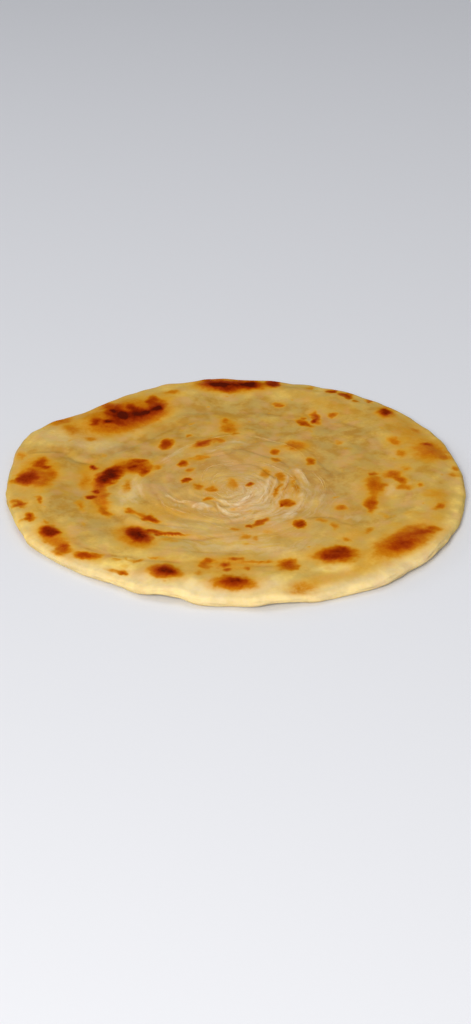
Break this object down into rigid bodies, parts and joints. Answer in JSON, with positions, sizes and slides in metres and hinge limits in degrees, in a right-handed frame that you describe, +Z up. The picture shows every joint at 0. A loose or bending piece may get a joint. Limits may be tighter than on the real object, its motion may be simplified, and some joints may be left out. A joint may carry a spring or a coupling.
{
  "type": "paratha flatbread",
  "caption": "Round layered griddle flatbread: coiled dough rolled flat, with a creased spiral middle, raised browned blisters, a puffed wavy rim and a flat underside to rest on.",
  "frame": {"origin": "middle of the bread's outline, on the flat underside that it rests on", "axes": "+Z up through the thickness, -Y towards the viewer, +X to the viewer's right"},
  "size_m": [0.1908, 0.1902, 0.0071],
  "materials": {
    "baked_dough": "pan-fried wheat dough, golden cream with brown blisters and a light sheen of fat"
  },
  "bodies": {
    "root": {"paratha": "baked_dough"}
  },
  "joints": []
}
